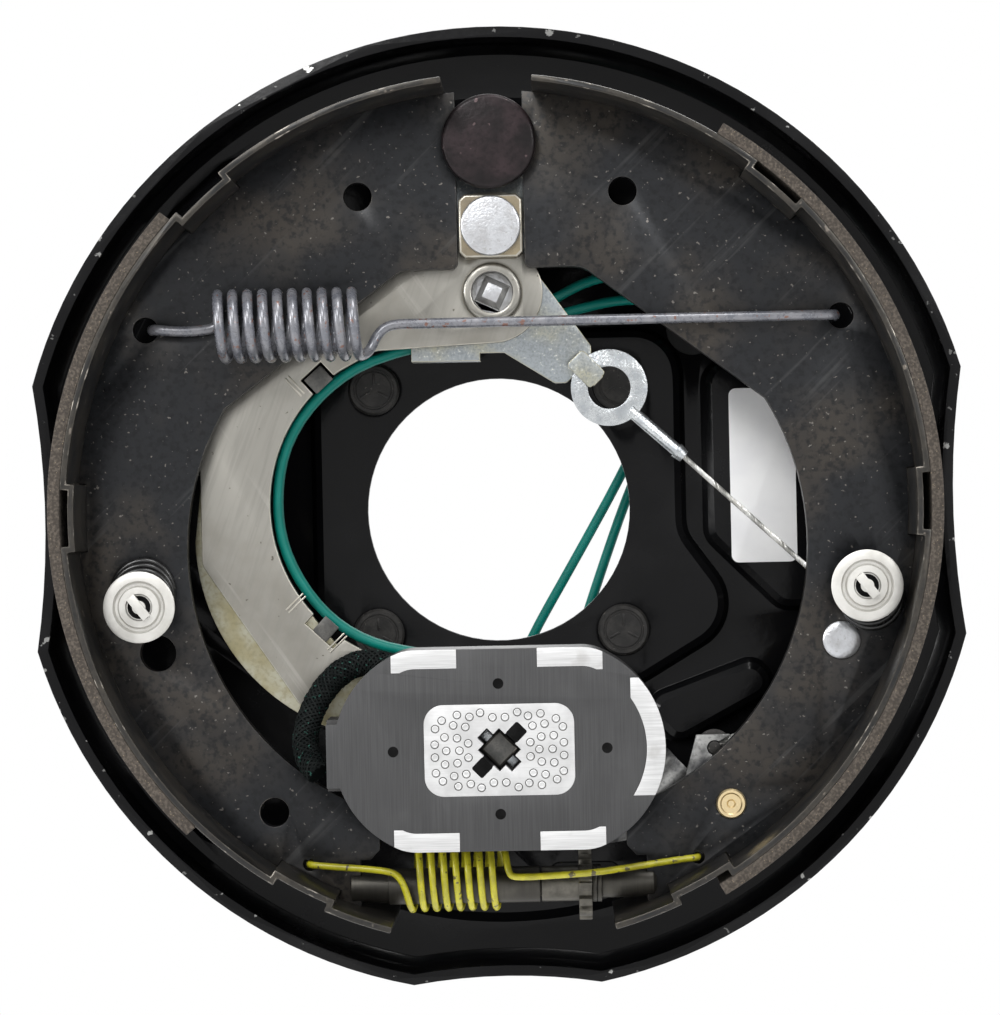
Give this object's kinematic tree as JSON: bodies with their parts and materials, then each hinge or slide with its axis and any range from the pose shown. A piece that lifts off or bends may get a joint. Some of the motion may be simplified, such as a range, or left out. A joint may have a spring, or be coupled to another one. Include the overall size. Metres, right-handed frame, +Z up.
{
  "type": "electric trailer brake assembly",
  "caption": "Self-adjusting electric drum brake for a trailer wheel, left hand: backing plate with two shoes, magnet on its lever, springs, adjuster and cable.",
  "frame": {"origin": "centre of the spindle hole on the rear face of the raised hub, where the axle flange bears", "axes": "+Y away from the drum, towards the axle flange, along the studs; +Z up, from the spindle hole towards the anchor post; +X to the right as seen from the drum side"},
  "size_m": [0.2746, 0.094, 0.2829],
  "materials": {
    "black_plate": "satin black paint",
    "black_oxide": "dark oxide",
    "shoe_steel": "oiled dark steel",
    "lining": "moulded friction lining",
    "lever_steel": "bare stamped steel",
    "zinc": "zinc plating",
    "zinc_yellow": "yellow passivated zinc",
    "block_steel": "sintered steel",
    "cast_grey": "turned steel, grey",
    "spring_grey": "grey-blue paint",
    "spring_yellow": "yellow paint",
    "spring_black": "black wire",
    "cable_steel": "stranded wire",
    "brass_pin": "brass plating",
    "magnet_dark": "brushed dark face",
    "magnet_bare": "bare ground steel",
    "copper_coil": "varnished winding",
    "wire_green": "green insulation",
    "sleeve_black": "braided sleeve",
    "rubber": "black rubber"
  },
  "bodies": {
    "plate": {"backing_plate": "black_plate", "mounting_studs": "black_oxide", "anchor_post": "black_oxide", "lever_pivot_pin": "zinc_yellow", "cable_anchor_plate": "zinc", "cable_eye": "zinc", "adjuster_cable": "cable_steel", "adjuster_nut": "cast_grey", "retractor_spring": "spring_grey", "adjuster_spring": "spring_yellow", "primary_hold_down_pin": "zinc", "primary_hold_down_spring": "spring_black", "primary_hold_down_cup": "zinc", "secondary_hold_down_pin": "zinc", "secondary_hold_down_spring": "spring_black", "secondary_hold_down_cup": "zinc", "adjuster_slot_plug": "rubber", "wire_grommet": "rubber", "harness_wires": "wire_green", "lead_wire_a": "wire_green", "lead_wire_b": "wire_green"},
    "lever": {"actuating_lever": "lever_steel", "wire_clip_tabs": "zinc", "lever_rear_arm": "zinc_yellow", "lever_pivot_bushing": "lever_steel", "block_rivet": "zinc", "magnet_post": "black_oxide", "magnet_retainer": "zinc", "magnet_spring_seat": "zinc", "magnet_spring": "zinc", "magnet_wires": "wire_green", "wire_sleeve": "sleeve_black"},
    "block": {"cam_block": "block_steel"},
    "magnet": {"magnet_case": "magnet_bare", "magnet_coil": "copper_coil", "magnet_face_plate": "magnet_dark", "magnet_centre_plate": "magnet_bare"},
    "primary_shoe": {"primary_web": "shoe_steel", "primary_table": "shoe_steel", "primary_lining": "lining"},
    "secondary_shoe": {"secondary_web": "shoe_steel", "secondary_table": "shoe_steel", "secondary_lining": "lining", "cable_guide": "brass_pin", "guide_rivet": "zinc", "pawl_pin": "brass_pin"},
    "pawl": {"pawl_lever": "zinc", "cable_link": "black_oxide"},
    "cap": {"adjuster_cap": "cast_grey", "thrust_washers": "black_oxide"},
    "screw": {"adjuster_screw": "cast_grey"}
  },
  "joints": [
    {"name": "lever_swing", "type": "hinge", "parent": "plate", "child": "lever", "pos_m": [0, -0.034, 0.0629], "axis": [0, -1, 0], "range_deg": [0, 6], "stiffness_Nm_per_rad": 3.8, "springref_deg": -5.73, "deforming": ["retractor_spring", "magnet_wires"]},
    {"name": "block_swivel", "type": "hinge", "parent": "lever", "child": "block", "pos_m": [0, -0.038, 0.0818], "axis": [0, -1, 0], "range_deg": [-6, 0.5]},
    {"name": "primary_shoe_swing", "type": "hinge", "parent": "plate", "child": "primary_shoe", "pos_m": [-0.0409, -0.0385, -0.1083], "axis": [0, -1, 0], "range_deg": [0, 0.7], "deforming": ["retractor_spring", "adjuster_spring", "primary_hold_down_spring"]},
    {"name": "magnet_float", "type": "slide", "parent": "lever", "child": "magnet", "axis": [0, 1, 0], "range_m": [0, 0.0025], "stiffness_N_per_m": 3000, "springref_m": -0.004, "deforming": ["magnet_spring", "wire_sleeve"]},
    {"name": "star_spin", "type": "hinge", "parent": "cap", "child": "screw", "pos_m": [0, -0.0385, -0.1083], "axis": [1, 0, 0], "range_deg": [0, 902]},
    {"name": "adjuster_extend", "type": "slide", "parent": "plate", "child": "cap", "axis": [1, 0, 0], "range_m": [0, 0.0027]},
    {"name": "secondary_shoe_swing", "type": "hinge", "parent": "plate", "child": "secondary_shoe", "pos_m": [0, -0.0385, 0.1059], "axis": [0, -1, 0], "range_deg": [0, 0.7075], "deforming": ["retractor_spring", "adjuster_spring", "adjuster_cable", "secondary_hold_down_spring"]},
    {"name": "pawl_swing", "type": "hinge", "parent": "secondary_shoe", "child": "pawl", "pos_m": [0.0658, -0.034, -0.086], "axis": [0, 1, 0], "range_deg": [0, 12], "stiffness_Nm_per_rad": 0.4, "springref_deg": -8.59, "deforming": ["adjuster_cable"]}
  ],
  "couplings": [
    {"joint": "primary_shoe_swing", "follows": "lever_swing", "ratio": 0.09942},
    {"joint": "block_swivel", "follows": "lever_swing", "ratio": -0.90058},
    {"joint": "star_spin", "follows": "secondary_shoe_swing", "ratio": 1272.1},
    {"joint": "adjuster_extend", "follows": "secondary_shoe_swing", "m_per_rad": 0.2142}
  ]
}
